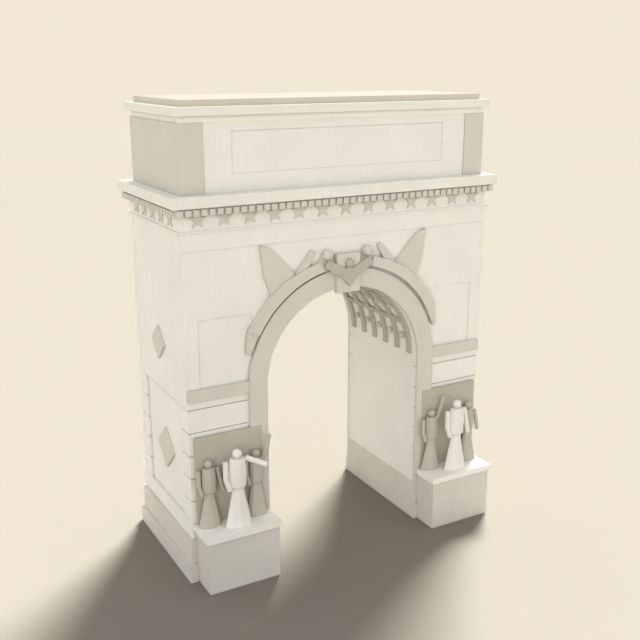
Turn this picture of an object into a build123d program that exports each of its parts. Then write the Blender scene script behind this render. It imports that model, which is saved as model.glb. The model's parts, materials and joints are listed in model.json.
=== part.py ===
from build123d import *
import os
from math import cos, radians, sin

os.makedirs("parts", exist_ok=True)

# A free-standing triumphal arch of marble: two piers on stepped plinths, one round arch between
# them, an entablature with stars and dentils, and a panelled attic under a flat roof slab.
# Statue groups stand on pedestals in front of both piers. +X runs along the arch's width,
# -Y is the front with the statues, +Z is up. Millimetres.

# ---- overall block --------------------------------------------------------------------------
half_width = 8730            # middle of the arch to its end faces
half_depth = 3485            # middle of the wall to its two main faces

# ---- heights, each measured from the top of the piece below it ------------------------------
step_height = 980            # lower step of the plinth
die_height = 1270            # upper step of the plinth
base_course_height = 890     # plain course on the plinth
course_count = 5             # quoin courses from the base course to the stage joint
crown_wall = 1616            # top of the archivolt to the underside of the architrave
architrave_height = 850
fillet_height = 90
frieze_height = 1020         # fillet to the underside of the cornice's bed
bed_height = 70              # strip under the cornice slab, set back to a dark groove
cornice_height = 510
attic_height = 3200
attic_band_height = 300
attic_cornice_height = 395
roof_slab_height = 295

# ---- outsets beyond the main faces ----------------------------------------------------------
step_outset = 288
die_outset = 136
fascia_outset = 40           # architrave fascia, main faces only
fillet_outset = 100
bed_outset = 270
cornice_outset = 430
attic_end_inset = 160        # end faces of the attic stand back from the end faces below
attic_face_inset = 195       # front of the attic's end blocks stands back from the main face
attic_wall_inset = 240       # front of the attic wall between them
attic_band_inset = 230
attic_cornice_outset = 25
roof_slab_inset = 365

# ---- the opening ----------------------------------------------------------------------------
opening_radius = 4534        # half the clear width, and the radius of the round head
spring_height = 9646         # ground to the centre of the arch
stage_drop = 546             # stage joint below the centre of the arch
dado_outset = 20             # plinth's face inside the passage

# ---- archivolt, keystone, impost bands ------------------------------------------------------
archivolt_width = 974
archivolt_outset = 167
keystone_half_width = 670
keystone_outset = 360
keystone_drop = 240          # how far it hangs below the crown of the opening
keystone_rise = 780          # how far it stands above the archivolt
impost_lift = 400            # stage joint to the underside of the band
impost_height = 600
impost_outset = 150
impost_end_inset = 40

# ---- joints, quoins, panels -----------------------------------------------------------------
joint_height = 40
joint_depth = 60
joint_return = 220           # how far a joint runs on round the jamb of the opening
quoin_outset = 150           # proud of the recessed end wall
quoin_width = 970
quoin_edge = 30
wall_panel_inset = 716       # panel's edge beyond the opening's jamb
wall_panel_margin = 715      # panel's edge to the end face
wall_panel_height = 3370
wall_panel_depth = 50
attic_end_width = 1222
attic_panel_margin = 1398    # panel's end to the attic's end blocks
attic_panel_height = 1940
attic_panel_lift = 850       # underside of the panel above the cornice
attic_panel_depth = 45
edge = 25                    # small chamfer on slabs

# ---- pedestals and the relief panels behind the statues -------------------------------------
pedestal_setback = 214       # pedestal's edge beyond the opening's jamb
pedestal_margin = 164        # pedestal's edge to the end face
pedestal_front = 1710        # front of the pedestal beyond the main face
pedestal_rise = 515          # top of the plinth to the top of the pedestal
cap_height = 290
cap_overhang = 102
relief_inner_margin = 177    # panel's edges inside the pedestal's
relief_outer_margin = 86
relief_outset = 200
relief_height = 4615

# ---- trim -----------------------------------------------------------------------------------
star_radius = 450
star_core = 0.42             # inner radius as a share of the outer one
star_outset = 60
star_lift = 500              # star's centre above the fillet
star_margin = 888            # last star's centre to the corner of the frieze
star_count = 13
end_star_margin = 1105
end_star_count = 5
dentil_height = 290
dentil_back = 80             # clear space behind the dentils, where the stars' tips run up
dentil_outset = 395
dentil_width = 274
dentil_gap = 117
dentil_clear = 8             # end dentils to the corner ones
end_dentil_count = 20
lozenge_outset = 120
lozenge_low_half = 1130
lozenge_low_lift = 2740      # centre above the base course
lozenge_high_half = 890
lozenge_high_lift = 2540     # centre above the stage joint

# ---- coffered vault -------------------------------------------------------------------------
rib_depth = 130
rib_width = 340
rib_margin = 429           # outer arched rib to the main face
rib_count = 6
cross_rib_width = 300
coffer_rows = 7
rib_start_angle = 1.3        # foot of the arched ribs above the springing
rosette_radius = 200
rosette_depth = 195
rosette_sides = 8
rosette_foot = 0.72          # radius where it meets the vault, as a share of the widest
seat = 0.3                   # running gap between a curved piece and the curve it follows

# ---- spandrel figures and eagles ------------------------------------------------------------
figure_gap = 152             # archivolt's outer edge to the figure's inner edge
figure_thickness = 600       # along the radius of the arch
figure_outset = 310
leg_outset = 200
foot_share = 0.12            # feet beyond the figure's inner edge, as a share of its thickness
figure_first_angle = 13.5    # shoulders, from the vertical
figure_knee_angle = 61.5     # end of the thick body, where the legs go on
figure_last_angle = 72.3     # feet
figure_head_radius = 270
figure_head_angle = 10.4
figure_head_outset = 240
wing_outset = 160
arm_outset = 190
eagle_half_span = 1400
eagle_height = 1430
eagle_drop = 890             # its lowest point below the archivolt's top
eagle_outset = 110
eagle_head_radius = 230
eagle_head_outset = 35

# ---- statues --------------------------------------------------------------------------------
statue_sides = 8
centre_scale = 1.0
flank_scale = 0.867
flank_share = 0.333          # centre figure to a flanking one, as a share of the pedestal's width
centre_statue_front = 1080   # centre figure's axis, beyond the main face
flank_statue_front = 470
group_shift = 5              # middle of the group beyond the middle of the pedestal
skirt_height = 1970
skirt_radius = 672
waist_radius = 268
hip_lift = 150               # each ring of the torso above the waist
hip_radius = 440
chest_lift = 950
chest_radius = 490
torso_height = 1610
shoulder_radius = 395
head_radius = 235
head_lift = 1825             # centre of the head above the waist
arm_radius = 140

# ---- heights, reaches and pitches that follow -----------------------------------------------
plinth_top = step_height + die_height
base_top = plinth_top + base_course_height
stage_joint = spring_height - stage_drop
course_height = (stage_joint - base_top) / course_count
archivolt_radius = opening_radius + archivolt_width
architrave_bottom = spring_height + archivolt_radius + crown_wall
fillet_bottom = architrave_bottom + architrave_height
frieze_bottom = fillet_bottom + fillet_height
bed_bottom = frieze_bottom + frieze_height
cornice_bottom = bed_bottom + bed_height
attic_bottom = cornice_bottom + cornice_height
attic_band_bottom = attic_bottom + attic_height
attic_cornice_bottom = attic_band_bottom + attic_band_height
roof_bottom = attic_cornice_bottom + attic_cornice_height
impost_bottom = stage_joint + impost_lift
impost_top = impost_bottom + impost_height
pedestal_inner = opening_radius + pedestal_setback
pedestal_outer = half_width - pedestal_margin
relief_inner = pedestal_inner + relief_inner_margin
relief_outer = pedestal_outer - relief_outer_margin
cap_bottom = plinth_top + pedestal_rise
cap_top = cap_bottom + cap_height
front_reach = half_depth + pedestal_front + cap_overhang
back_reach = half_depth + keystone_outset + eagle_head_outset + eagle_head_radius
wall_y = (front_reach - back_reach) / 2      # the footprint's middle is the origin
end_wall = half_width - quoin_outset
star_pitch = 2 * (half_width - star_margin) / (star_count - 1)
end_star_pitch = 2 * (half_depth - end_star_margin) / (end_star_count - 1)
rib_pitch = (2 * (half_depth - rib_margin) - rib_width) / (rib_count - 1)
coffer_angle = 180 / coffer_rows
figure_inner = archivolt_radius + figure_gap
sides = (("left", -1), ("right", 1))
faces = ("front", "back")


def level(height):
    """Level plane over the middle of the wall, at a height above the ground."""
    return Plane(origin=(0, wall_y, height))


def face_plane(face, outset=0.0, height=0.0):
    """Upright plane parallel to a main face, facing away from the wall."""
    if face == "front":
        return Plane(origin=(0, wall_y - half_depth - outset, height), x_dir=(1, 0, 0), z_dir=(0, -1, 0))
    return Plane(origin=(0, wall_y + half_depth + outset, height), x_dir=(-1, 0, 0), z_dir=(0, 1, 0))


def end_plane(sign, reach, height=0.0):
    """Upright plane parallel to an end face at a distance from the middle, facing outwards."""
    return Plane(origin=(sign * reach, wall_y, height), x_dir=(0, sign, 0), z_dir=(sign, 0, 0))


def keep(part, name):
    """Label a finished sub-part and write it as its own STEP file."""
    part.label = name
    export_step(part, f"parts/{name}.step")


def block(sign, inner, outer, half_deep, bottom, height):
    """Plain block of one pier: from inner to outer along the width, as deep on both faces."""
    with BuildPart() as piece:
        with BuildSketch(level(bottom)):
            with Locations((sign * (inner + outer) / 2, 0)):
                Rectangle(outer - inner, 2 * half_deep)
        extrude(amount=height)
    return piece


def slab(half_wide, half_deep, bottom, height, bevel=0.0):
    """Plain slab right across the arch, with its upright and top edges lightly bevelled."""
    with BuildPart() as piece:
        with BuildSketch(level(bottom)):
            Rectangle(2 * half_wide, 2 * half_deep)
        extrude(amount=height)
        if bevel:
            chamfer(piece.faces().sort_by(Axis.Z)[-1].edges(), bevel)
    return piece


# ---- plinths: a low wide step under a tall one ----------------------------------------------
passage_face = opening_radius - dado_outset
for side, sign in sides:
    with BuildPart() as plinth:
        for bottom, height, outset in ((0, step_height, step_outset), (step_height, die_height, die_outset)):
            outer = half_width + outset
            with BuildSketch(level(bottom)):
                with Locations((sign * (passage_face + outer) / 2, 0)):
                    Rectangle(outer - passage_face, 2 * (half_depth + outset))
            extrude(amount=height)
    keep(plinth.part, f"plinth_{side}")

# ---- base courses ---------------------------------------------------------------------------
for side, sign in sides:
    base_course = block(sign, opening_radius, half_width, half_depth, plinth_top, base_course_height)
    keep(base_course.part, f"base_course_{side}")

# ---- piers: coursed main faces, end wall set back between the quoins ------------------------
for side, sign in sides:
    with BuildPart() as pier:
        with BuildSketch(level(base_top)):
            with Locations((sign * (opening_radius + end_wall) / 2, 0)):
                Rectangle(end_wall - opening_radius, 2 * half_depth)
        extrude(amount=stage_joint - base_top)
        joint_x = sign * (opening_radius + end_wall) / 2
        for course in range(1, course_count + 1):
            joint_top = base_top + course * course_height
            with BuildSketch(level(joint_top - joint_height)):
                with GridLocations(0, 2 * half_depth - joint_depth, 1, 2):
                    with Locations((joint_x, 0)):
                        Rectangle(end_wall - opening_radius, joint_depth)
                with GridLocations(0, 2 * half_depth - joint_return, 1, 2):
                    with Locations((sign * (opening_radius + joint_depth / 2), 0)):
                        Rectangle(joint_depth, joint_return)
            extrude(amount=joint_height, mode=Mode.SUBTRACT)
    keep(pier.part, f"pier_{side}")

# ---- quoins: proud blocks up both corners of each end ---------------------------------------
for side, sign in sides:
    with BuildPart() as quoins:
        for course in range(course_count):
            with BuildSketch(level(base_top + course * course_height)):
                with GridLocations(0, 2 * half_depth - quoin_width, 1, 2):
                    with Locations((sign * (half_width - quoin_outset / 2), 0)):
                        Rectangle(quoin_outset, quoin_width)
            extrude(amount=course_height - joint_height)
        outer_faces = quoins.faces().filter_by(Axis.X).group_by(Axis.X)[-1 if sign > 0 else 0]
        chamfer(outer_faces.edges(), quoin_edge)
    keep(quoins.part, f"quoins_{side}")

# ---- upper walls and spandrels, one for each half, with the stage joint over the end wall ---
wall_panel_inner = opening_radius + wall_panel_inset
wall_panel_outer = half_width - wall_panel_margin
wall_panel_middle = (wall_panel_inner + wall_panel_outer) / 2
for side, sign in sides:
    with BuildPart() as spandrel:
        with BuildSketch(Plane(origin=(0, wall_y, 0), x_dir=(1, 0, 0), z_dir=(0, -1, 0))):
            with BuildLine():
                crown = (0, spring_height + opening_radius)
                shoulder = opening_radius * cos(radians(45))
                haunch = (sign * shoulder, spring_height + shoulder)
                springing = (sign * opening_radius, spring_height)
                ThreePointArc(crown, haunch, springing)
                Polyline(
                    springing,
                    (sign * opening_radius, stage_joint),
                    (sign * half_width, stage_joint),
                    (sign * half_width, architrave_bottom),
                    (0, architrave_bottom),
                    crown,
                )
            make_face()
        extrude(amount=half_depth, both=True)
        for face in faces:
            toward = sign if face == "front" else -sign
            with BuildSketch(face_plane(face)):
                with Locations((toward * wall_panel_middle, impost_top + wall_panel_height / 2)):
                    Rectangle(wall_panel_outer - wall_panel_inner, wall_panel_height)
            extrude(amount=-wall_panel_depth, mode=Mode.SUBTRACT)
        with BuildSketch(level(stage_joint)):
            with Locations((sign * (half_width - joint_depth / 2), 0)):
                Rectangle(joint_depth, 2 * (half_depth - quoin_width))
        extrude(amount=joint_height, mode=Mode.SUBTRACT)
    keep(spandrel.part, f"spandrel_{side}")

# ---- architrave: a plain block with a thin fascia on both main faces ------------------------
with BuildPart() as architrave:
    with BuildSketch(level(architrave_bottom)):
        Rectangle(2 * half_width, 2 * (half_depth + fascia_outset))
    extrude(amount=architrave_height)
keep(architrave.part, "architrave")

# ---- frieze on its fillet -------------------------------------------------------------------
with BuildPart() as frieze:
    with BuildSketch(level(fillet_bottom)):
        Rectangle(2 * (half_width + fillet_outset), 2 * (half_depth + fillet_outset))
    extrude(amount=fillet_height)
    with BuildSketch(level(frieze_bottom)):
        Rectangle(2 * half_width, 2 * half_depth)
    extrude(amount=frieze_height)
keep(frieze.part, "frieze")

# ---- cornice on its bed ---------------------------------------------------------------------
with BuildPart() as cornice:
    for bottom, height, outset in (
        (bed_bottom, bed_height, bed_outset),
        (cornice_bottom, cornice_height, cornice_outset),
    ):
        with BuildSketch(level(bottom)):
            Rectangle(2 * (half_width + outset), 2 * (half_depth + outset))
        extrude(amount=height)
    chamfer(cornice.faces().sort_by(Axis.Z)[-1].edges(), edge)
keep(cornice.part, "cornice")

# ---- dentils: small blocks hanging under the cornice's bed ----------------------------------
dentil_bottom = bed_bottom - dentil_height
dentil_pitch = dentil_width + dentil_gap
dentil_deep = dentil_outset - dentil_back
front_dentils = int((2 * (half_width + dentil_outset) + dentil_gap) / dentil_pitch)
end_dentil_reach = half_depth + dentil_back - dentil_clear
end_dentil_pitch = (2 * end_dentil_reach - dentil_width) / (end_dentil_count - 1)
for face in faces:
    with BuildPart() as dentils:
        with BuildSketch(face_plane(face, dentil_back, dentil_bottom)):
            with Locations((0, dentil_height / 2)):
                with GridLocations(dentil_pitch, 0, front_dentils, 1):
                    Rectangle(dentil_width, dentil_height)
        extrude(amount=dentil_deep)
    keep(dentils.part, f"dentils_{face}")
with BuildPart() as dentils_ends:
    for side, sign in sides:
        with BuildSketch(end_plane(sign, half_width + dentil_back, dentil_bottom)):
            with Locations((0, dentil_height / 2)):
                with GridLocations(end_dentil_pitch, 0, end_dentil_count, 1):
                    Rectangle(dentil_width, dentil_height)
        extrude(amount=dentil_deep)
keep(dentils_ends.part, "dentils_ends")


def star_points():
    """The ten corners of an upright five-pointed star about its own centre."""
    points = []
    for corner in range(10):
        reach = star_radius if corner % 2 == 0 else star_radius * star_core
        turn = radians(90 + 36 * corner)
        points.append((reach * cos(turn), reach * sin(turn)))
    return points


# ---- stars on the frieze --------------------------------------------------------------------
star_height = frieze_bottom + star_lift
for face in faces:
    with BuildPart() as stars:
        with BuildSketch(face_plane(face, 0, star_height)):
            with GridLocations(star_pitch, 0, star_count, 1):
                Polygon(*star_points(), align=None)
        extrude(amount=star_outset)
    keep(stars.part, f"stars_{face}")
with BuildPart() as stars_ends:
    for side, sign in sides:
        with BuildSketch(end_plane(sign, half_width, star_height)):
            with GridLocations(end_star_pitch, 0, end_star_count, 1):
                Polygon(*star_points(), align=None)
        extrude(amount=star_outset)
keep(stars_ends.part, "stars_ends")

# ---- attic: end blocks, panelled wall between them, band, cornice and roof slab -------------
attic_half_width = half_width - attic_end_inset
attic_inner = attic_half_width - attic_end_width
attic_panel_width = 2 * (attic_inner - attic_panel_margin)
with BuildPart() as attic_ends:
    with BuildSketch(level(attic_bottom)):
        with GridLocations(attic_half_width + attic_inner, 0, 2, 1):
            Rectangle(attic_end_width, 2 * (half_depth - attic_face_inset))
    extrude(amount=attic_height)
keep(attic_ends.part, "attic_ends")

with BuildPart() as attic_wall:
    with BuildSketch(level(attic_bottom)):
        Rectangle(2 * attic_inner, 2 * (half_depth - attic_wall_inset))
    extrude(amount=attic_height)
    for face in faces:
        with BuildSketch(face_plane(face, -attic_wall_inset, attic_bottom + attic_panel_lift)):
            with Locations((0, attic_panel_height / 2)):
                Rectangle(attic_panel_width, attic_panel_height)
        extrude(amount=-attic_panel_depth, mode=Mode.SUBTRACT)
keep(attic_wall.part, "attic_wall")

attic_band = slab(
    half_width - attic_band_inset,
    half_depth - attic_band_inset,
    attic_band_bottom,
    attic_band_height,
)
keep(attic_band.part, "attic_band")
attic_cornice = slab(
    half_width + attic_cornice_outset,
    half_depth + attic_cornice_outset,
    attic_cornice_bottom,
    attic_cornice_height,
    edge,
)
keep(attic_cornice.part, "attic_cornice")
roof_slab = slab(
    half_width - roof_slab_inset,
    half_depth - roof_slab_inset,
    roof_bottom,
    roof_slab_height,
    edge,
)
keep(roof_slab.part, "roof_slab")

# ---- archivolts: the ring and its legs, broken at the top by the keystone -------------------
for face in faces:
    with BuildPart() as archivolt:
        with BuildSketch(face_plane(face)):
            with Locations((0, spring_height)):
                Circle(archivolt_radius)
            with Locations((0, (plinth_top + spring_height) / 2)):
                Rectangle(2 * archivolt_radius, spring_height - plinth_top)
            with Locations((0, spring_height)):
                Circle(opening_radius, mode=Mode.SUBTRACT)
            with Locations((0, (plinth_top + spring_height) / 2)):
                Rectangle(2 * opening_radius, spring_height - plinth_top, mode=Mode.SUBTRACT)
            with Locations((0, spring_height + archivolt_radius)):
                Rectangle(2 * keystone_half_width, 3 * archivolt_width, mode=Mode.SUBTRACT)
        extrude(amount=archivolt_outset)
    keep(archivolt.part, f"archivolt_{face}")

# ---- keystones ------------------------------------------------------------------------------
keystone_bottom = spring_height + opening_radius - keystone_drop
keystone_top = spring_height + archivolt_radius + keystone_rise
for face in faces:
    with BuildPart() as keystone:
        with BuildSketch(face_plane(face, 0, keystone_bottom)):
            with Locations((0, (keystone_top - keystone_bottom) / 2)):
                Rectangle(2 * keystone_half_width, keystone_top - keystone_bottom)
        extrude(amount=keystone_outset)
        outer = keystone.faces().sort_by(Axis.Y)[0 if face == "front" else -1]
        chamfer(outer.edges(), edge)
    keep(keystone.part, f"keystone_{face}")

# ---- impost bands beside the archivolt, on both main faces ----------------------------------
impost_end = half_width - impost_end_inset
with BuildPart() as impost_bands:
    for face in faces:
        with BuildSketch(face_plane(face, 0, impost_bottom)):
            with Locations((0, impost_height / 2)):
                with GridLocations(impost_end + archivolt_radius, 0, 2, 1):
                    Rectangle(impost_end - archivolt_radius, impost_height)
        extrude(amount=impost_outset)
keep(impost_bands.part, "impost_bands")

# ---- lozenges on the end faces: one on the upper wall, one on the recessed end wall ---------
low_centre = base_top + lozenge_low_lift
high_centre = stage_joint + lozenge_high_lift
with BuildPart() as lozenges:
    for side, sign in sides:
        for reach, height, half in (
            (end_wall, low_centre, lozenge_low_half),
            (half_width, high_centre, lozenge_high_half),
        ):
            with BuildSketch(end_plane(sign, reach, height)):
                Polygon((half, 0), (0, half), (-half, 0), (0, -half), align=None)
            extrude(amount=lozenge_outset)
keep(lozenges.part, "lozenges")

# ---- coffered vault: arched ribs crossed by straight ones -----------------------------------
rib_outer = opening_radius - seat
rib_inner = opening_radius - rib_depth
rib_foot = rib_outer * sin(radians(rib_start_angle))
rib_reach = rib_pitch * (rib_count - 1) + rib_width
vault_plane = Plane(origin=(0, wall_y, spring_height), x_dir=(1, 0, 0), z_dir=(0, -1, 0))
with BuildPart() as coffer_ribs:
    for rib in range(rib_count):
        middle = (rib - (rib_count - 1) / 2) * rib_pitch
        with BuildSketch(vault_plane.offset(middle)):
            Circle(rib_outer)
            Circle(rib_inner, mode=Mode.SUBTRACT)
            with Locations((0, rib_foot - rib_outer)):
                Rectangle(2 * rib_outer, 2 * rib_outer, mode=Mode.SUBTRACT)
        extrude(amount=rib_width / 2, both=True)
    with BuildSketch(vault_plane):
        for row in range(1, coffer_rows):
            with PolarLocations(opening_radius - rib_depth / 2, 1, row * coffer_angle):
                Rectangle(2 * rib_depth, cross_rib_width)
        Circle(rib_inner, mode=Mode.SUBTRACT)
        Circle(rib_outer, mode=Mode.INTERSECT)
    extrude(amount=rib_reach / 2, both=True)
keep(coffer_ribs.part, "coffer_ribs")

# ---- rosettes: one round faceted boss in the middle of every coffer -------------------------
boss_foot = (rib_outer**2 - (rosette_foot * rosette_radius) ** 2) ** 0.5
boss_rings = ((0, rosette_foot), (0.36, 1), (0.76, 0.8), (1, 0.38))
with BuildPart() as rosettes:
    for row in range(coffer_rows):
        turn = radians((row + 0.5) * coffer_angle)
        out_x = cos(turn)
        out_z = sin(turn)
        for bay in range(rib_count - 1):
            y = wall_y + (bay - (rib_count - 2) / 2) * rib_pitch
            origin = (boss_foot * out_x, y, spring_height + boss_foot * out_z)
            foot = Plane(origin=origin, x_dir=(0, 1, 0), z_dir=(-out_x, 0, -out_z))
            with BuildPart(mode=Mode.PRIVATE) as boss:
                for lift, spread in boss_rings:
                    with BuildSketch(foot.offset(lift * rosette_depth)):
                        RegularPolygon(spread * rosette_radius, rosette_sides)
                loft(ruled=True)
            add(boss.part)
keep(rosettes.part, "rosettes")

# ---- pedestals, shaped at the back to the stepped plinth and the archivolt's leg ------------
leg_reach = half_depth + archivolt_outset
for side, sign in sides:
    middle = sign * (pedestal_inner + pedestal_outer) / 2
    with BuildPart() as pedestal:
        profile_plane = Plane(origin=(middle, wall_y, 0), x_dir=(0, -1, 0), z_dir=(-1, 0, 0))
        with BuildSketch(profile_plane):
            with BuildLine():
                Polyline(
                    (half_depth + step_outset, 0),
                    (half_depth + pedestal_front, 0),
                    (half_depth + pedestal_front, cap_bottom),
                    (half_depth, cap_bottom),
                    (half_depth, plinth_top),
                    (half_depth + die_outset, plinth_top),
                    (half_depth + die_outset, step_height),
                    (half_depth + step_outset, step_height),
                    close=True,
                )
            make_face()
        extrude(amount=(pedestal_outer - pedestal_inner) / 2, both=True)
        with BuildSketch(level(plinth_top)):
            with Locations((sign * archivolt_radius / 2, -leg_reach / 2)):
                Rectangle(archivolt_radius, leg_reach)
        extrude(amount=cap_bottom, mode=Mode.SUBTRACT)
    keep(pedestal.part, f"pedestal_{side}")

for side, sign in sides:
    middle = sign * (pedestal_inner + pedestal_outer) / 2
    with BuildPart() as pedestal_cap:
        with BuildSketch(level(cap_bottom)):
            with Locations((middle, -(half_depth + (pedestal_front + cap_overhang) / 2))):
                Rectangle(pedestal_outer - pedestal_inner + 2 * cap_overhang, pedestal_front + cap_overhang)
            with Locations((sign * archivolt_radius / 2, -leg_reach / 2)):
                Rectangle(archivolt_radius, leg_reach, mode=Mode.SUBTRACT)
        extrude(amount=cap_height)
    keep(pedestal_cap.part, f"pedestal_cap_{side}")

# ---- relief panels: thick over the wall, thin where they lap the archivolt's leg ------------
with BuildPart() as relief_panels:
    for side, sign in sides:
        with BuildSketch(level(cap_top)):
            with BuildLine():
                Polyline(
                    (sign * relief_outer, -half_depth),
                    (sign * relief_outer, -half_depth - relief_outset),
                    (sign * relief_inner, -half_depth - relief_outset),
                    (sign * relief_inner, -leg_reach),
                    (sign * archivolt_radius, -leg_reach),
                    (sign * archivolt_radius, -half_depth),
                    close=True,
                )
            make_face()
        extrude(amount=relief_height)
keep(relief_panels.part, "relief_panels")


def beyond(share, angle, sign=1):
    """Point beyond the figures' inner edge by a share of their thickness, at an angle from the vertical."""
    reach = figure_inner + share * figure_thickness
    return (sign * reach * sin(radians(angle)), reach * cos(radians(angle)))


def spandrel_figure(face, sign):
    """Reclining winged figure along the archivolt: body, legs, raised arm, neck and head, and a wing."""
    toward = sign if face == "front" else -sign
    plane = face_plane(face, 0, spring_height)
    body = ((0.86, 14.6), (0.93, 24), (1.06, 35), (1.0, 44), (0.93, 53), (0.95, figure_knee_angle))
    legs = ((0.95, figure_knee_angle), (0.67, 67), (0.35, 72.4))
    wing = ((1.04, 28), (3.29, 30.7), (4.07, 31.6), (4.85, 34.1), (3.75, 36.4), (2.78, 39.1), (1.0, 42.9), (0.43, 37.4))
    arm = ((1.86, 15.5), (2.08, 17.2), (1.0, 28), (0.6, 22.5))
    neck = ((1.05, 9.6), (1.33, 11.9), (0.69, 17.2), (0.14, 14.5))
    with BuildPart() as figure:
        for back, first, last, end_share, outset in (
            (body, figure_first_angle, figure_knee_angle, 0, figure_outset),
            (legs, figure_knee_angle, figure_last_angle, foot_share, leg_outset),
        ):
            with BuildSketch(plane):
                with BuildLine():
                    lower = beyond(end_share, last, toward)
                    middle = beyond(end_share / 3, (first + last) / 2, toward)
                    upper = beyond(0, first, toward)
                    ThreePointArc(lower, middle, upper)
                    Polyline(upper, *[beyond(share, angle, toward) for share, angle in back], lower)
                make_face()
            extrude(amount=outset)
        for outline, outset in ((wing, wing_outset), (arm, arm_outset), (neck, wing_outset)):
            with BuildSketch(plane):
                with BuildLine():
                    Polyline(*[beyond(share, angle, toward) for share, angle in outline], close=True)
                make_face()
            extrude(amount=outset)
        with Locations(plane.offset(figure_head_outset).location):
            with Locations(beyond(1.25, figure_head_angle, toward)):
                Sphere(figure_head_radius)
        split(bisect_by=plane, keep=Keep.TOP)
    return figure.part


# ---- winged figures in the spandrels --------------------------------------------------------
for face in faces:
    with BuildPart() as victories:
        for side, sign in sides:
            add(spandrel_figure(face, sign))
    keep(victories.part, f"victories_{face}")

# ---- eagle on each keystone: two spread wings, a wedge body and a round head ----------------
eagle_bottom = spring_height + archivolt_radius - eagle_drop
half_outline = ((0.24, 0.275), (1, 0.76), (0.84, 1), (0.12, 0.64), (0.12, 0.74))
for face in faces:
    plane = face_plane(face, keystone_outset, eagle_bottom)
    right = [(eagle_half_span * across, eagle_height * up) for across, up in half_outline]
    left = [(-across, up) for across, up in reversed(right)]
    with BuildPart() as eagle:
        with BuildSketch(plane):
            with BuildLine():
                Polyline((0, 0), *right, *left, close=True)
            make_face()
        extrude(amount=eagle_outset)
        with Locations(plane.offset(eagle_head_outset).location):
            with Locations((0, 0.84 * eagle_height, 0)):
                Sphere(eagle_head_radius)
        split(bisect_by=plane, keep=Keep.TOP)
    keep(eagle.part, f"eagle_{face}")


def statue(x, y, scale, arms):
    """Robed standing figure: flared skirt, full torso, round head and two jointed arms."""
    waist = cap_top + scale * skirt_height
    foot = Plane(origin=(x, y, cap_top))
    with BuildPart() as figure:
        with BuildSketch(foot):
            RegularPolygon(scale * skirt_radius, statue_sides)
        with BuildSketch(foot.offset(scale * skirt_height)):
            RegularPolygon(scale * waist_radius, statue_sides)
        loft()
        for lift, radius in (
            (0, waist_radius),
            (hip_lift, hip_radius),
            (chest_lift, chest_radius),
            (torso_height, shoulder_radius),
        ):
            with BuildSketch(foot.offset(scale * (skirt_height + lift))):
                RegularPolygon(scale * radius, statue_sides)
        loft(ruled=True)
        with Locations((x, y, waist + scale * head_lift)):
            Sphere(scale * head_radius)
        for arm in arms:
            torso = scale * torso_height
            points = [(x + torso * dx, y + torso * dy, waist + torso * dz) for dx, dy, dz in arm]
            for start, end in zip(points, points[1:]):
                run = Vector(*end) - Vector(*start)
                with BuildSketch(Plane(origin=start, z_dir=run)):
                    RegularPolygon(scale * arm_radius, statue_sides)
                extrude(amount=run.length)
    return figure


# ---- arms, as shoulder, elbow and hand about the figure's waist, in shares of the torso -----
hanging_bent = ((-0.12, 0, 0.89), (-0.35, 0, 0.91), (-0.38, 0, 0.35), (-0.27, -0.04, -0.02))
hanging_straight = ((0.12, 0, 0.89), (0.33, 0, 0.92), (0.52, 0, 0))
raised = ((0.12, 0, 0.89), (0.27, 0, 0.92), (0.44, 0, 1.33), (0.53, 0, 1.76))
offering = ((0.12, 0, 0.89), (0.27, 0, 0.97), (0.82, -0.36, 0.7))
group_middle = (pedestal_inner + pedestal_outer) / 2 + group_shift
flank_spread = flank_share * (pedestal_outer - pedestal_inner)
centre_y = wall_y - half_depth - centre_statue_front
flank_y = wall_y - half_depth - flank_statue_front
for side, sign in sides:
    right_arm = offering if sign < 0 else hanging_straight
    statue_centre = statue(sign * group_middle, centre_y, centre_scale, (hanging_bent, right_arm))
    keep(statue_centre.part, f"statue_centre_{side}")

# ---- flanking figures, flat at the back where they stand against the relief panel -----------
for side, sign in sides:
    with BuildPart() as statues_flank:
        for place in (-1, 1):
            near_opening = place * sign < 0
            right_arm = raised if near_opening else hanging_straight
            x = sign * group_middle + place * flank_spread
            figure = statue(x, flank_y, flank_scale, (hanging_bent, right_arm))
            add(figure.part)
        split(bisect_by=face_plane("front", relief_outset), keep=Keep.TOP)
    keep(statues_flank.part, f"statues_flank_{side}")
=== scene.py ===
"""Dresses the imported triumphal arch: stone materials, carved pieces, camera, floor and soft light."""
import json
import math

import bmesh
import bpy
import numpy as np
from mathutils import Euler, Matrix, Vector


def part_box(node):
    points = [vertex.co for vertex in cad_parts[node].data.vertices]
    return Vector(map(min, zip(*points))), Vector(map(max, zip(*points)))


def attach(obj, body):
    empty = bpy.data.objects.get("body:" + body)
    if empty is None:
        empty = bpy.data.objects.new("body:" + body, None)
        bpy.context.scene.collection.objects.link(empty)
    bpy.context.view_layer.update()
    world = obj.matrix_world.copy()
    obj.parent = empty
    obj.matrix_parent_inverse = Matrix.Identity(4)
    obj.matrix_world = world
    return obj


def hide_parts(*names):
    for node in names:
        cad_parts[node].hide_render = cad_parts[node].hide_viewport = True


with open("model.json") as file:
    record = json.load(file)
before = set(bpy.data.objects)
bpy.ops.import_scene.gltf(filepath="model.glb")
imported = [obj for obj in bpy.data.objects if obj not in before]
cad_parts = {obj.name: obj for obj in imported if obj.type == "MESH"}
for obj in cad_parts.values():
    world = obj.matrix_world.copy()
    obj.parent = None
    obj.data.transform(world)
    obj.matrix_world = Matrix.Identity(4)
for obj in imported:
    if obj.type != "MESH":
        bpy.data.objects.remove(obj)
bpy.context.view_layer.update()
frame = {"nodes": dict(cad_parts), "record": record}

# ---------------------------------------------------------------- places taken from the CAD frame
cornice_low, cornice_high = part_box("cornice")
WALL_Y = (cornice_low.y + cornice_high.y) / 2     # middle of the wall's thickness


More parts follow.
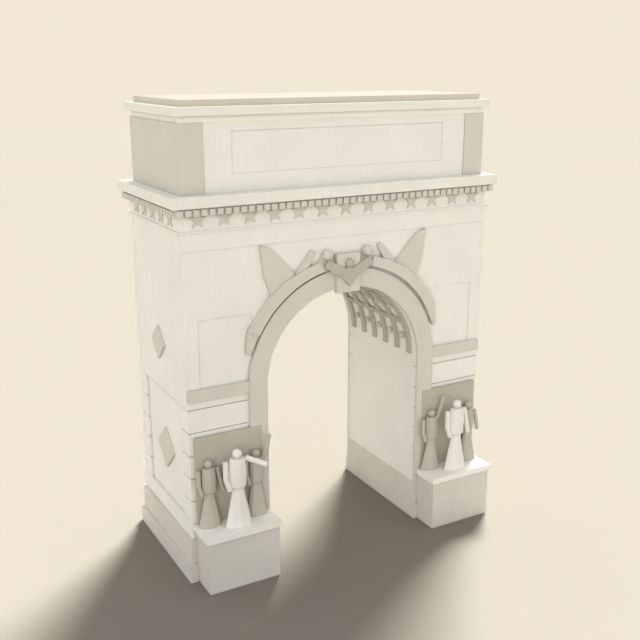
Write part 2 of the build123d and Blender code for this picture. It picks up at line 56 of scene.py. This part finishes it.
# ---------------------------------------------------------------- camera
LENS, SENSOR = 50.325, 36                         # in millimetres
CAMERA_PLACE = (-22.673, WALL_Y - 41.249, 25.097)
CAMERA_TURN = (73.903, 0.033, -29.330)            # about X, Y and Z, in degrees
FARTHEST_SEEN = 4000


def make_camera():
    """Camera a little higher than the roof, off the left corner of the front, looking gently down."""
    data = bpy.data.cameras.new("view")
    data.lens = LENS
    data.sensor_width = SENSOR
    data.clip_end = FARTHEST_SEEN
    camera = bpy.data.objects.new("view", data)
    camera.location = CAMERA_PLACE
    camera.rotation_euler = Euler([math.radians(angle) for angle in CAMERA_TURN], "XYZ")
    bpy.context.scene.collection.objects.link(camera)
    bpy.context.scene.camera = camera


# ---------------------------------------------------------------- node helpers
def new_group(name, inputs, outputs):
    """Empty shader node group with sockets given as (name, kind, default)."""
    group = bpy.data.node_groups.new(name, "ShaderNodeTree")
    for label, kind, default in inputs:
        socket = group.interface.new_socket(label, in_out="INPUT", socket_type=kind)
        if default is not None:
            socket.default_value = default
    for label, kind in outputs:
        group.interface.new_socket(label, in_out="OUTPUT", socket_type=kind)
    start = group.nodes.new("NodeGroupInput")
    end = group.nodes.new("NodeGroupOutput")
    return group, start, end


def put(value, socket, links):
    """Sets a socket from a number or colour, or links it from another socket."""
    if isinstance(value, bpy.types.NodeSocket):
        links.new(value, socket)
    else:
        socket.default_value = value


def maths(tree, operation, a, b=0.0, c=None, clamp=False):
    """One Math node; returns its output."""
    node = tree.nodes.new("ShaderNodeMath")
    node.operation = operation
    node.use_clamp = clamp
    put(a, node.inputs[0], tree.links)
    put(b, node.inputs[1], tree.links)
    if c is not None:
        put(c, node.inputs[2], tree.links)
    return node.outputs[0]


def split(tree, vector):
    """The X, Y and Z of a vector."""
    node = tree.nodes.new("ShaderNodeSeparateXYZ")
    tree.links.new(vector, node.inputs[0])
    return node.outputs


def remap(tree, value, low, high, to_low=0.0, to_high=1.0):
    """Carries low..high to to_low..to_high, with smooth ends and clamped."""
    node = tree.nodes.new("ShaderNodeMapRange")
    node.interpolation_type = "SMOOTHSTEP"
    put(value, node.inputs["Value"], tree.links)
    node.inputs["From Min"].default_value = low
    node.inputs["From Max"].default_value = high
    node.inputs["To Min"].default_value = to_low
    node.inputs["To Max"].default_value = to_high
    return node.outputs["Result"]


def noise(tree, vector, scale, detail=3.0, rough=0.5, stretch=None, distortion=0.0):
    """Noise texture read from a vector, optionally squeezed along some axes."""
    if stretch is not None:
        mapping = tree.nodes.new("ShaderNodeMapping")
        mapping.inputs["Scale"].default_value = stretch
        tree.links.new(vector, mapping.inputs["Vector"])
        vector = mapping.outputs["Vector"]
    node = tree.nodes.new("ShaderNodeTexNoise")
    put(scale, node.inputs["Scale"], tree.links)
    node.inputs["Detail"].default_value = detail
    node.inputs["Roughness"].default_value = rough
    node.inputs["Distortion"].default_value = distortion
    tree.links.new(vector, node.inputs["Vector"])
    return node.outputs["Fac"]


def shade(tree, colour, factor):
    """Multiplies a colour by a number."""
    node = tree.nodes.new("ShaderNodeVectorMath")
    node.operation = "SCALE"
    put(colour, node.inputs[0], tree.links)
    put(factor, node.inputs["Scale"], tree.links)
    return node.outputs["Vector"]


# ---------------------------------------------------------------- effects shared by the stones
def marble_group():
    """Broad soft patches, fine grain and thin wandering veins of a marble."""
    group, start, end = new_group(
        "marble_figure",
        [("Vector", "NodeSocketVector", None), ("Patch Scale", "NodeSocketFloat", 0.35),
         ("Grain Scale", "NodeSocketFloat", 70.0), ("Vein Scale", "NodeSocketFloat", 0.8)],
        [("Patches", "NodeSocketFloat"), ("Grain", "NodeSocketFloat"), ("Veins", "NodeSocketFloat")],
    )
    where = start.outputs["Vector"]
    broad = noise(group, where, start.outputs["Patch Scale"], detail=4.0, rough=0.55)
    fine = noise(group, where, start.outputs["Grain Scale"], detail=2.0, rough=0.6)
    wander = noise(group, where, start.outputs["Vein Scale"], detail=6.0, rough=0.62,
                   stretch=(1.0, 1.0, 0.45), distortion=1.4)
    off_line = maths(group, "ABSOLUTE", maths(group, "SUBTRACT", wander, 0.5))
    thin = remap(group, off_line, 0.0, 0.012, 1.0, 0.0)
    halo = remap(group, off_line, 0.0, 0.05, 0.35, 0.0)
    fade = remap(group, noise(group, where, start.outputs["Patch Scale"], detail=1.0), 0.42, 0.62)
    veins = maths(group, "MULTIPLY", maths(group, "MAXIMUM", thin, halo), fade)
    group.links.new(remap(group, broad, 0.36, 0.64), end.inputs["Patches"])
    group.links.new(remap(group, fine, 0.3, 0.7), end.inputs["Grain"])
    group.links.new(veins, end.inputs["Veins"])
    return group


def nearest_line(tree, value, pitch):
    """Distance to the nearest multiple of the pitch."""
    share = maths(tree, "FRACT", maths(tree, "DIVIDE", value, pitch))
    from_middle = maths(tree, "ABSOLUTE", maths(tree, "SUBTRACT", share, 0.5))
    return maths(tree, "MULTIPLY", maths(tree, "SUBTRACT", 0.5, from_middle), pitch)


def ashlar_group():
    """Hairline joints of squared blocks in running bond on upright faces, and each block's own tone."""
    group, start, end = new_group(
        "block_joints",
        [("Vector", "NodeSocketVector", None), ("Foot", "NodeSocketFloat", 0.0),
         ("Course", "NodeSocketFloat", 1.0), ("Length", "NodeSocketFloat", 2.0),
         ("Width", "NodeSocketFloat", 0.008)],
        [("Joint", "NodeSocketFloat"), ("Block", "NodeSocketFloat")],
    )
    where = split(group, start.outputs["Vector"])
    normal = split(group, group.nodes.new("ShaderNodeNewGeometry").outputs["True Normal"])
    on_end = maths(group, "GREATER_THAN", maths(group, "ABSOLUTE", normal["X"]), 0.7)
    upright = maths(group, "LESS_THAN", maths(group, "ABSOLUTE", normal["Z"]), 0.7)
    along = group.nodes.new("ShaderNodeMix")
    group.links.new(on_end, along.inputs["Factor"])
    group.links.new(where["X"], along.inputs["A"])
    group.links.new(where["Y"], along.inputs["B"])
    course, length = start.outputs["Course"], start.outputs["Length"]
    height = maths(group, "SUBTRACT", where["Z"], start.outputs["Foot"])
    row = maths(group, "FLOOR", maths(group, "DIVIDE", height, course))
    shift = maths(group, "MULTIPLY", maths(group, "MULTIPLY", maths(group, "MODULO", row, 2.0), 0.5), length)
    run = maths(group, "ADD", along.outputs["Result"], shift)
    gap = maths(group, "MINIMUM", nearest_line(group, height, course), nearest_line(group, run, length))
    near = maths(group, "DIVIDE", gap, start.outputs["Width"])
    joint = maths(group, "MULTIPLY", remap(group, near, 0.4, 1.0, 1.0, 0.0), upright)
    cell = group.nodes.new("ShaderNodeCombineXYZ")
    group.links.new(maths(group, "FLOOR", maths(group, "DIVIDE", run, length)), cell.inputs["X"])
    group.links.new(row, cell.inputs["Y"])
    group.links.new(on_end, cell.inputs["Z"])
    tone = group.nodes.new("ShaderNodeTexWhiteNoise")
    group.links.new(cell.outputs[0], tone.inputs["Vector"])
    group.links.new(joint, end.inputs["Joint"])
    group.links.new(tone.outputs["Value"], end.inputs["Block"])
    return group


def weather_group():
    """Faint rain streaks down upright faces, dust on faces that look up."""
    group, start, end = new_group(
        "weather",
        [("Vector", "NodeSocketVector", None)],
        [("Streaks", "NodeSocketFloat"), ("Dust", "NodeSocketFloat")],
    )
    where = start.outputs["Vector"]
    normal = split(group, group.nodes.new("ShaderNodeNewGeometry").outputs["Normal"])
    upright = remap(group, maths(group, "ABSOLUTE", normal["Z"]), 0.2, 0.6, 1.0, 0.0)
    trickle = noise(group, where, scale=3.2, detail=3.0, rough=0.6, stretch=(1.0, 1.0, 0.07))
    wet = noise(group, where, scale=0.22, detail=2.0)
    runs = maths(group, "MULTIPLY", remap(group, trickle, 0.5, 0.72), remap(group, wet, 0.42, 0.62))
    streaks = maths(group, "MULTIPLY", runs, upright)
    specks = noise(group, where, scale=2.4, detail=5.0, rough=0.65)
    level = remap(group, normal["Z"], 0.5, 0.9)
    dust = maths(group, "MULTIPLY", remap(group, specks, 0.4, 0.7), level)
    group.links.new(streaks, end.inputs["Streaks"])
    group.links.new(dust, end.inputs["Dust"])
    return group


def shade_and_grime_group():
    """Painted shade where surfaces close in on each other, read from ambient occlusion: 1 in a tight corner,
    0 in the open. The tight mask also roughens the stone like grime.
    """
    group, start, end = new_group(
        "shade_and_grime",
        [("Near", "NodeSocketFloat", 0.25), ("Wide", "NodeSocketFloat", 2.0)],
        [("Corner", "NodeSocketFloat"), ("Hollow", "NodeSocketFloat")],
    )
    for label, low, high, out in (("Near", 0.2, 0.72, "Corner"), ("Wide", 0.3, 0.9, "Hollow")):
        node = group.nodes.new("ShaderNodeAmbientOcclusion")
        node.samples = 8
        group.links.new(start.outputs[label], node.inputs["Distance"])
        group.links.new(remap(group, node.outputs["AO"], low, high, 1.0, 0.0), end.inputs[out])
    return group


def edge_group():
    """Softened arrises: the rounded normal, and a mask that is 1 where an edge has worn."""
    group, start, end = new_group(
        "worn_edge",
        [("Vector", "NodeSocketVector", None), ("Radius", "NodeSocketFloat", 0.02)],
        [("Worn", "NodeSocketFloat"), ("Normal", "NodeSocketVector")],
    )
    soft = group.nodes.new("ShaderNodeBevel")
    soft.samples = 4
    group.links.new(start.outputs["Radius"], soft.inputs["Radius"])
    facing = group.nodes.new("ShaderNodeNewGeometry")
    meet = group.nodes.new("ShaderNodeVectorMath")
    meet.operation = "DOT_PRODUCT"
    group.links.new(soft.outputs[0], meet.inputs[0])
    group.links.new(facing.outputs["Normal"], meet.inputs[1])
    turned = remap(group, meet.outputs["Value"], 0.75, 0.98, 1.0, 0.0)
    chips = noise(group, start.outputs["Vector"], scale=6.0, detail=3.0)
    broken = remap(group, chips, 0.3, 0.6, 0.4, 1.0)
    group.links.new(maths(group, "MULTIPLY", turned, broken), end.inputs["Worn"])
    group.links.new(soft.outputs[0], end.inputs["Normal"])
    return group


MARBLE = marble_group()
JOINTS = ashlar_group()
WEATHER = weather_group()
# masks that paint shade into the stones' colour in corners and hollows
SHADE_AND_GRIME = shade_and_grime_group()
EDGE = edge_group()


def place(tree, group, **values):
    """Puts a shared effect into a material; keyword names are its inputs with underscores for spaces."""
    node = tree.nodes.new("ShaderNodeGroup")
    node.node_tree = group
    for label, value in values.items():
        put(value, node.inputs[label.replace("_", " ")], tree.links)
    return node.outputs


# Amounts that all the stones share
WORN_LIFT = 0.06                                  # how much lighter a worn edge is
SPECULAR = 0.2
GRAIN_ROUGH, GRIME_ROUGH = 0.12, 0.1              # what grain, and dirt in tight corners, do to the roughness
JOINT_SINK = 2.0                                  # a joint's depth, in depths of the grain
RELIEF = 0.5


def stone(name, tone, patch=0.02, grain=0.03, vein=0.05, corner_shade=0.3, hollow_shade=0.0, streak=0.02, dust=0.03,
          joint=0.06, block=0.006, course=1.0, length=2.0, foot=0.0, round_edge=0.02, rough=0.72, bump=0.002):
    """Dressed stone: its tone times a factor near 1 for each effect.

    Each amount is the share by which that effect darkens or lightens the tone at most. Blocks have the given
    course height and length and start at the foot; bump is the depth of the grain, in metres.
    """
    material = bpy.data.materials.new(name)
    material.use_nodes = True
    tree = material.node_tree
    shader = tree.nodes["Principled BSDF"]
    where = tree.nodes.new("ShaderNodeTexCoord").outputs["Object"]
    marble = place(tree, MARBLE, Vector=where)
    lines = place(tree, JOINTS, Vector=where, Foot=foot, Course=course, Length=length)
    weather = place(tree, WEATHER, Vector=where)
    shade_and_grime = place(tree, SHADE_AND_GRIME)
    edge = place(tree, EDGE, Vector=where, Radius=round_edge)

    def about_one(value, amount):
        """1 plus or minus the amount as the value goes from 0 to 1."""
        return maths(tree, "MULTIPLY_ADD", value, 2 * amount, 1 - amount)

    def below_one(value, amount):
        """1 less the amount where the value is 1."""
        return maths(tree, "MULTIPLY_ADD", value, -amount, 1.0)

    tint = about_one(marble["Patches"], patch)
    for factor in (
        about_one(marble["Grain"], grain),
        about_one(lines["Block"], block),
        below_one(marble["Veins"], vein),
        below_one(lines["Joint"], joint),
        below_one(weather["Streaks"], streak),
        below_one(weather["Dust"], dust),
        # painted shade: the tone is darkened in tight corners and in wide hollows, read from ambient
        # occlusion
        below_one(shade_and_grime["Corner"], corner_shade),
        below_one(shade_and_grime["Hollow"], hollow_shade),
        maths(tree, "MULTIPLY_ADD", edge["Worn"], WORN_LIFT, 1.0),
    ):
        tint = maths(tree, "MULTIPLY", tint, factor)
    tree.links.new(shade(tree, tone, tint), shader.inputs["Base Color"])
    shader.inputs["Specular IOR Level"].default_value = SPECULAR
    grained = maths(tree, "MULTIPLY_ADD", marble["Grain"], GRAIN_ROUGH, rough - GRAIN_ROUGH / 2)
    grimy = maths(tree, "MULTIPLY_ADD", shade_and_grime["Corner"], GRIME_ROUGH, grained, clamp=True)
    tree.links.new(grimy, shader.inputs["Roughness"])
    height = maths(tree, "MULTIPLY_ADD", lines["Joint"], -JOINT_SINK, marble["Grain"])
    relief = tree.nodes.new("ShaderNodeBump")
    relief.inputs["Strength"].default_value = RELIEF
    relief.inputs["Distance"].default_value = bump
    tree.links.new(height, relief.inputs["Height"])
    tree.links.new(edge["Normal"], relief.inputs["Normal"])
    tree.links.new(relief.outputs["Normal"], shader.inputs["Normal"])
    return material


# ---------------------------------------------------------------- the stones of the arch
pier_low, pier_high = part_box("pier_left")
COURSES = 5                                       # quoins up a pier's corner
COURSE = (pier_high.z - pier_low.z) / COURSES
BLOCKS = dict(course=COURSE, length=2.6, foot=pier_low.z)
# In these recipes, the amounts for tight corners and wide hollows are painted shade.
STONES = {
    "wall_marble": dict(tone=(0.779, 0.764, 0.707), hollow_shade=0.06, **BLOCKS),
    "cap_marble": dict(tone=(0.82, 0.80, 0.735)),
    "moulding_marble": dict(tone=(0.60, 0.583, 0.513), joint=0.0),
    "plinth_stone": dict(tone=(0.62, 0.598, 0.53), course=COURSE, length=3.1, patch=0.03, streak=0.05),
    "relief_stone": dict(tone=(0.466, 0.44, 0.366), joint=0.0, corner_shade=0.12),
    "carving_stone": dict(tone=(0.455, 0.43, 0.36), joint=0.0),
    "figure_stone": dict(tone=(0.474, 0.448, 0.377), joint=0.0, corner_shade=0.18),
    "statue_marble": dict(tone=(0.765, 0.744, 0.688), joint=0.0, corner_shade=0.15),
    "cornice_marble": dict(tone=(0.758, 0.747, 0.679), streak=0.01, **BLOCKS),
    "band_marble": dict(tone=(0.825, 0.815, 0.74), corner_shade=0.15, **BLOCKS),
    "attic_marble": dict(tone=(0.773, 0.758, 0.703), corner_shade=0.12, hollow_shade=0.19, **BLOCKS),
    "end_block_marble": dict(tone=(0.602, 0.585, 0.514), joint=0.0, hollow_shade=0.21),
    # painted light: lighter than the carving around it, to offset the shade that falls on the rosettes in the
    # coffers
    "rosette_stone_painted_light": dict(tone=(0.56, 0.54, 0.46), joint=0.0, corner_shade=0.1),
    "roof_marble": dict(tone=(0.591, 0.536, 0.446), joint=0.0),
    "frieze_marble": dict(tone=(0.785, 0.77, 0.715), corner_shade=0.08, **BLOCKS),
    # mortar of the stage joints, its dark tone painted shade for the line under the upper wall
    "joint_mortar_painted_shade": dict(tone=(0.44, 0.415, 0.345), joint=0.0, corner_shade=0.1),
}
OWN_STONE = {
    "cornice": "cornice_marble", "attic_cornice": "cornice_marble", "attic_band": "band_marble",
    "attic_wall": "attic_marble", "attic_ends": "end_block_marble", "roof_slab": "roof_marble",
    "frieze": "frieze_marble", "rosettes": "rosette_stone_painted_light",
}
slots = {row["node"]: row["material_slot"] for row in frame["record"]["subparts"]}
materials = {slot: stone(slot, **recipe) for slot, recipe in STONES.items()}
for name, node in frame["nodes"].items():
    material = materials[OWN_STONE.get(name, slots[name])]
    if not node.data.materials:
        node.data.materials.append(material)
    for entry in node.material_slots:
        entry.link = "OBJECT"
        entry.material = material


# ---------------------------------------------------------------- mesh helpers
def add_piece(name, shells, slot, replaces=(), material=None):
    """One object from closed shells given as (points, quads, fans, smooth), riding on the arch."""
    points, faces, rounded = [], [], []
    start = 0
    for shell_points, quads, fans, smooth in shells:
        points.append(shell_points)
        faces += (quads + start).tolist() + (fans + start).tolist()
        rounded += [smooth] * (len(quads) + len(fans))
        start += len(shell_points)
    mesh = bpy.data.meshes.new(name)
    mesh.from_pydata(np.vstack(points).tolist(), [], faces)
    body = bmesh.new()
    body.from_mesh(mesh)
    bmesh.ops.recalc_face_normals(body, faces=body.faces)
    body.to_mesh(mesh)
    body.free()
    mesh.polygons.foreach_set("use_smooth", rounded)
    mesh.materials.append(materials[material or slot])
    piece = bpy.data.objects.new(name, mesh)
    bpy.context.scene.collection.objects.link(piece)
    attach(piece, "root")
    if replaces:
        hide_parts(*replaces)


def skin(rings, smooth=False):
    """Shell through a stack of closed rings, each end closed by a fan to the middle of its ring."""
    rows, columns, _ = rings.shape
    points = np.vstack([rings.reshape(-1, 3), rings[0].mean(axis=0), rings[-1].mean(axis=0)])
    corner = np.arange(rows * columns).reshape(rows, columns)
    after = np.roll(corner, -1, axis=1)
    quads = np.stack([corner[:-1], after[:-1], after[1:], corner[1:]], axis=-1).reshape(-1, 4)
    low, high = np.full(columns, rows * columns), np.full(columns, rows * columns + 1)
    fans = np.stack([low, after[0], corner[0], high, corner[-1], after[-1]], axis=-1).reshape(-1, 3)
    return points, quads, fans, smooth


WORN_TURN, WORN_REACH = 4.5, 0.985                # degrees each side of a corner, and where it is worn to


def worn_octagon():
    """Unit ring of eight flat sides, three points to a corner, each worn back to a small round.

    A point's radius is cos(22.5) over the cosine of its angle from the middle of its side, at most the reach.
    """
    corner = np.arange(8) * np.pi / 4
    turn = (corner[:, None] + np.radians([-WORN_TURN, 0, WORN_TURN])).ravel()
    facet = np.cos(np.pi / 8) / np.cos(np.mod(turn, np.pi / 4) - np.pi / 8)
    radius = np.minimum(facet, WORN_REACH)
    return np.column_stack([radius * np.cos(turn), radius * np.sin(turn)])


def eased(stations, steps):
    """Rows run evenly between stations, then averaged 1:2:1 with their neighbours to soften creases."""
    table = np.array(stations, dtype=float)
    places = np.linspace(0, len(table) - 1, (len(table) - 1) * steps + 1)
    rows = np.column_stack([np.interp(places, np.arange(len(table)), column) for column in table.T])
    rows[1:-1] = (rows[:-2] + 2 * rows[1:-1] + rows[2:]) / 4
    return rows


# ---------------------------------------------------------------- statues
# Sizes of a figure at scale 1, in metres
ROBE = 1.97                                       # foot to waist
TORSO = 1.61                                      # waist to shoulders
HEAD_LIFT = 1.838                                 # waist to the middle of the head
HEAD_RADIUS, NECK_RADIUS = 0.235, 0.13
NECK_DROP = 0.2                                   # middle of the head down to the middle of the neck
BALL_RINGS, BALL_SIDES, BALL_TIP = 22, 40, 0.06   # the tip is the angle left to each end's fan, in radians

# Arms from shoulder to hand, about the waist, in shares of the torso
BENT = ((-0.385, 0, 0.94), (-0.385, 0, 0.36), (-0.275, -0.04, -0.01))
STRAIGHT = ((0.31, 0, 0.94), (0.42, 0, 0.47), (0.52, 0, 0.0))
RAISED = ((0.22, 0, 0.9), (0.29, 0, 0.97), (0.44, 0, 1.33), (0.55, 0, 1.78))
OFFERING = ((0.27, 0, 0.96), (0.55, -0.18, 0.85), (0.83, -0.36, 0.735))
ARM_END = ((0.0, 0.8), (0.07, 0.94), (0.2, 1.0))  # (distance from the end, size), in radii
MITRE = 1.02                                      # size of the ring at an elbow, in radii

# Standing places and builds
GROUP_SHIFT = 0.005                               # middle of the group beyond the middle of its pedestal
CENTRE_FRONT, FLANK_FRONT = 1.05, 0.455           # axes before the wall
CENTRE_GIRTH, FLANK_GIRTH = 1.05, 0.96
CENTRE_ARM, FLANK_ARM = 0.142, 0.13
CENTRE_SCALE, FLANK_SCALE = 1.0, 0.867


def robed_body(spot, scale, girth):
    """Flared robe and full torso: level soft octagons, flatter from front to back than across.

    Each station is (height, half width, half depth). Rows run evenly between stations and are eased.
    """
    stations = [
        (0.0, 0.72, 0.40),
        (ROBE, 0.285 * girth, 0.20),
        (ROBE + 0.15, 0.435 * girth, 0.31),
        (ROBE + 0.95, 0.475 * girth, 0.34),
        (ROBE + TORSO - 0.03, 0.40 * girth, 0.29),
        (ROBE + TORSO, 0.33, 0.25),
    ]
    rows = eased(stations, steps=5)
    outline = worn_octagon()
    rings = np.empty((len(rows), len(outline), 3))
    rings[:, :, 0] = spot[0] + scale * rows[:, 1:2] * outline[:, 0]
    rings[:, :, 1] = spot[1] + scale * rows[:, 2:3] * outline[:, 1]
    rings[:, :, 2] = spot[2] + scale * rows[:, 0:1]
    return skin(rings)


def limb(points, radius):
    """Round-edged eight-sided arm through its joints: a ring square to the path, mitred where it turns."""
    path = [Vector(point) for point in points]
    outline = worn_octagon()
    rings = []

    def ring(centre, along, size):
        side = along.cross(Vector((0, 1, 0))).normalized()
        front = side.cross(along).normalized()
        across, up = np.array(side) * size, np.array(front) * size
        rings.append(np.array(centre) + outline[:, :1] * across + outline[:, 1:] * up)

    first = (path[1] - path[0]).normalized()
    last = (path[-1] - path[-2]).normalized()
    for back, share in ARM_END:
        ring(path[0] + first * radius * back, first, radius * share)
    for before, corner, after in zip(path, path[1:], path[2:]):
        turn = ((corner - before).normalized() + (after - corner).normalized()).normalized()
        ring(corner, turn, radius * MITRE)
    for back, share in reversed(ARM_END):
        ring(path[-1] - last * radius * back, last, radius * share)
    return skin(np.array(rings))


def ball(centre, radius):
    """Plain ball for a head or neck: rings by latitude, radius times sine across and cosine upwards."""
    latitude = np.linspace(BALL_TIP, np.pi - BALL_TIP, BALL_RINGS)
    turn = np.arange(BALL_SIDES) * 2 * np.pi / BALL_SIDES
    rings = np.empty((len(latitude), len(turn), 3))
    rings[:, :, 0] = centre[0] + radius * np.sin(latitude)[:, None] * np.cos(turn)
    rings[:, :, 1] = centre[1] + radius * np.sin(latitude)[:, None] * np.sin(turn)
    rings[:, :, 2] = centre[2] - radius * np.cos(latitude)[:, None]
    return skin(rings, smooth=True)


def figure(spot, scale, girth, arms, arm_radius):
    """Shells of one standing figure: body, arms, head and neck."""
    waist = Vector(spot) + Vector((0, 0, scale * ROBE))
    torso = scale * TORSO
    shells = [robed_body(spot, scale, girth)]
    for arm in arms:
        shells.append(limb([waist + torso * Vector(joint) for joint in arm], scale * arm_radius))
    head = waist + Vector((0, 0, scale * HEAD_LIFT))
    shells.append(ball(head, scale * HEAD_RADIUS))
    shells.append(ball(head - Vector((0, 0, scale * NECK_DROP)), scale * NECK_RADIUS))
    return shells


for side, sign in (("left", -1), ("right", 1)):
    low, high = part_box(f"pedestal_{side}")
    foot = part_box(f"pedestal_cap_{side}")[1].z
    middle = (low.x + high.x) / 2 + sign * GROUP_SHIFT
    spot = (middle, pier_low.y - CENTRE_FRONT, foot)
    arms = (BENT, OFFERING if sign < 0 else STRAIGHT)
    shells = figure(spot, CENTRE_SCALE, CENTRE_GIRTH, arms, CENTRE_ARM)
    add_piece(f"carved_centre_{side}", shells, "statue_marble", (f"statue_centre_{side}",))
    shells = []
    for step in (-1, 1):
        spot = (middle + step * (high.x - low.x) / 3, pier_low.y - FLANK_FRONT, foot)
        arms = (BENT, RAISED if step * sign < 0 else STRAIGHT)
        shells += figure(spot, FLANK_SCALE, FLANK_GIRTH, arms, FLANK_ARM)
    add_piece(f"carved_flank_{side}", shells, "figure_stone", (f"statues_flank_{side}",))


# ---------------------------------------------------------------- dentil bands, and stage joints whose dark mortar paints their shade line
def front_bar(sign, reach, outline):
    """Bar along a main face: a profile of (outset, height) carried from end to end."""
    return skin(np.array([
        [(end * reach, WALL_Y + sign * (frieze_half_y + out), height) for out, height in outline]
        for end in (-1, 1)
    ]))


def end_bar(sign, reach, outline):
    """Bar along an end face, in the same way."""
    return skin(np.array([
        [(sign * (frieze_half_x + out), WALL_Y + end * reach, height) for out, height in outline]
        for end in (-1, 1)
    ]))


FILLET = 0.1                                      # the fillet's outset, which sets the frieze's box
INSET = 0.002                                     # how far a filling stays inside the faces round it
frieze_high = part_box("frieze")[1]
frieze_half_x = frieze_high.x - FILLET
frieze_half_y = frieze_high.y - WALL_Y - FILLET
dentil_low, dentil_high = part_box("dentils_front")
BAND_BACK, BAND_FACE, BAND_EASE = 0.08, 0.295, 0.03
END_INSET = 0.01                                  # the bands stop this far inside the dentils' reach
band_bottom, band_top = dentil_low.z + 2 * INSET, dentil_high.z - INSET
band_outline = (
    (BAND_BACK, band_bottom), (BAND_FACE - BAND_EASE, band_bottom), (BAND_FACE, band_bottom + BAND_EASE),
    (BAND_FACE, band_top), (BAND_BACK, band_top),
)
front_reach = dentil_high.x - END_INSET
end_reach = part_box("dentils_ends")[1].y - WALL_Y - END_INSET
bands = [front_bar(sign, front_reach, band_outline) for sign in (-1, 1)]
bands += [end_bar(sign, end_reach, band_outline) for sign in (-1, 1)]
add_piece("dentil_bands", bands, "moulding_marble")

# Each end face gets a strip of mortar in the stage joint between the quoins; its dark tone is painted shade,
# standing in for the shade line under the upper wall's overhang.
QUOIN_WIDTH = 0.97
JOINT_HEIGHT, JOINT_DEPTH = 0.04, 0.06
MORTAR_SET, MORTAR_DISH = 0.01, 0.014             # depth of the mortar's face at its edges and in its middle
joint_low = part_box("spandrel_left")[0].z
mortar_bottom, mortar_top = joint_low + INSET, joint_low + JOINT_HEIGHT - INSET
joint_outline = (
    (INSET - JOINT_DEPTH, mortar_bottom), (-MORTAR_SET, mortar_bottom),
    (-MORTAR_DISH, joint_low + JOINT_HEIGHT / 2),
    (-MORTAR_SET, mortar_top), (INSET - JOINT_DEPTH, mortar_top),
)
joint_reach = frieze_half_y - QUOIN_WIDTH - INSET
joints = [end_bar(sign, joint_reach, joint_outline) for sign in (-1, 1)]
add_piece("stage_joint_shade_lines", joints, "wall_marble", material="joint_mortar_painted_shade")


# ---------------------------------------------------------------- floor, world and lights
BACKGROUND = (0.887, 0.807, 0.665)
FLOOR = (0.232, 0.2115, 0.1743)
FLOOR_FADE = (110, 700)                           # distance at which the floor starts and ends giving way
FLOOR_REACH = 1500
SKY, SUN, FLOOR_SUN, FILL = 0.88, 0.89, 3.09, 0.34  # strengths; the floor has a second sun for its shadow
KEY_FROM, KEY_SPREAD = (47, 47), 18               # a lamp's azimuth and elevation, and its width, in degrees
FILL_FROM, FILL_SPREAD = (222, 10), 40


def floor_paint(name, colour):
    """Matt surface whose colour gives way to the background's far off, so that no horizon line shows."""
    material = bpy.data.materials.new(name)
    material.use_nodes = True
    material.cycles.emission_sampling = "NONE"
    tree = material.node_tree
    shader = tree.nodes["Principled BSDF"]
    shader.inputs["Roughness"].default_value = 1.0
    shader.inputs["Specular IOR Level"].default_value = 0.0
    shader.inputs["Emission Strength"].default_value = 1.0
    distance = tree.nodes.new("ShaderNodeVectorMath")
    distance.operation = "LENGTH"
    tree.links.new(tree.nodes.new("ShaderNodeTexCoord").outputs["Object"], distance.inputs[0])
    far = remap(tree, distance.outputs["Value"], *FLOOR_FADE)
    near = maths(tree, "SUBTRACT", 1.0, far)
    tree.links.new(shade(tree, colour, near), shader.inputs["Base Color"])
    tree.links.new(shade(tree, BACKGROUND, far), shader.inputs["Emission Color"])
    return material


def make_floor():
    """Wide pale floor, flat at the ground."""
    mesh = bpy.data.meshes.new("studio_floor")
    corners = [(x * FLOOR_REACH, y * FLOOR_REACH, 0) for x, y in ((-1, -1), (1, -1), (1, 1), (-1, 1))]
    mesh.from_pydata(corners, [], [(0, 1, 2, 3)])
    floor = bpy.data.objects.new("studio_floor", mesh)
    bpy.context.scene.collection.objects.link(floor)
    mesh.materials.append(floor_paint("studio_floor", FLOOR))
    return floor


def make_world():
    """Even pale sky: one strength for the camera's background, another for the light it gives."""
    world = bpy.data.worlds.new("studio")
    bpy.context.scene.world = world
    world.use_nodes = True
    tree = world.node_tree
    tree.nodes.clear()
    out = tree.nodes.new("ShaderNodeOutputWorld")
    light = tree.nodes.new("ShaderNodeBackground")
    light.inputs["Color"].default_value = (1, 1, 1, 1)
    light.inputs["Strength"].default_value = SKY
    seen = tree.nodes.new("ShaderNodeBackground")
    seen.inputs["Color"].default_value = (*BACKGROUND, 1)
    path = tree.nodes.new("ShaderNodeLightPath")
    mix = tree.nodes.new("ShaderNodeMixShader")
    tree.links.new(path.outputs["Is Camera Ray"], mix.inputs[0])
    tree.links.new(light.outputs[0], mix.inputs[1])
    tree.links.new(seen.outputs[0], mix.inputs[2])
    tree.links.new(mix.outputs[0], out.inputs["Surface"])


def sun(name, azimuth, elevation, strength, spread):
    """Sun lamp seen from an azimuth (from +Y towards +X) and elevation; spread is its width, in degrees.

    A strength of 1 lights a white surface that faces the lamp to 1.
    """
    data = bpy.data.lights.new(name, "SUN")
    data.energy = strength * math.pi
    data.angle = math.radians(spread)
    lamp = bpy.data.objects.new(name, data)
    toward = Vector((
        math.sin(math.radians(azimuth)) * math.cos(math.radians(elevation)),
        math.cos(math.radians(azimuth)) * math.cos(math.radians(elevation)),
        math.sin(math.radians(elevation)),
    ))
    lamp.rotation_euler = toward.to_track_quat("Z", "Y").to_euler()
    bpy.context.scene.collection.objects.link(lamp)
    return lamp


make_camera()
floor = make_floor()
make_world()
sun("key", *KEY_FROM, SUN, KEY_SPREAD)
fill = sun("fill", *FILL_FROM, FILL, FILL_SPREAD)
floor_key = sun("floor_key", *KEY_FROM, FLOOR_SUN, KEY_SPREAD)
only_floor = bpy.data.collections.new("only_floor")
only_floor.objects.link(floor)
floor_key.light_linking.receiver_collection = only_floor
all_but_floor = bpy.data.collections.new("all_but_floor")
all_but_floor.objects.link(floor)
all_but_floor.collection_objects[0].light_linking.link_state = "EXCLUDE"
fill.light_linking.receiver_collection = all_but_floor
bpy.context.scene.view_settings.view_transform = "Standard"
